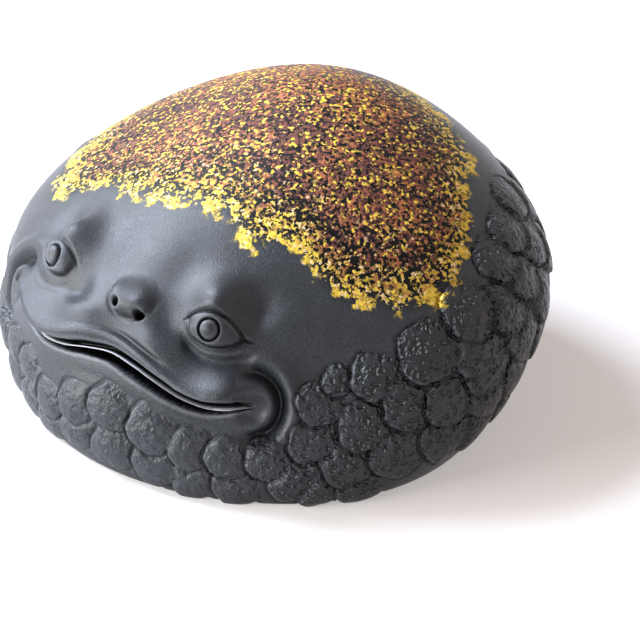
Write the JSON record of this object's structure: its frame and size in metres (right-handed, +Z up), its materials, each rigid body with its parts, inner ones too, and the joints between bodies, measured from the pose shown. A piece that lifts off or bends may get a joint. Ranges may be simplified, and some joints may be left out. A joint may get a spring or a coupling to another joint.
{
  "type": "tea pet",
  "caption": "Palm-sized unglazed black stoneware tea pet: a pebble-shaped smiling creature with lapped scales, a speckled crown and a flat vented foot.",
  "frame": {"origin": "under the middle of the whole piece, on the surface that it rests on", "axes": "+Z up, -Y out of the creature's face, +X towards the creature's own left-hand side"},
  "size_m": [0.0982, 0.086, 0.0488],
  "materials": {
    "black_stoneware": "unglazed matte black stoneware with a sprinkled gold, orange and brick-red grain on the crown"
  },
  "bodies": {
    "root": {"tea_pet_body": "black_stoneware"}
  },
  "joints": []
}
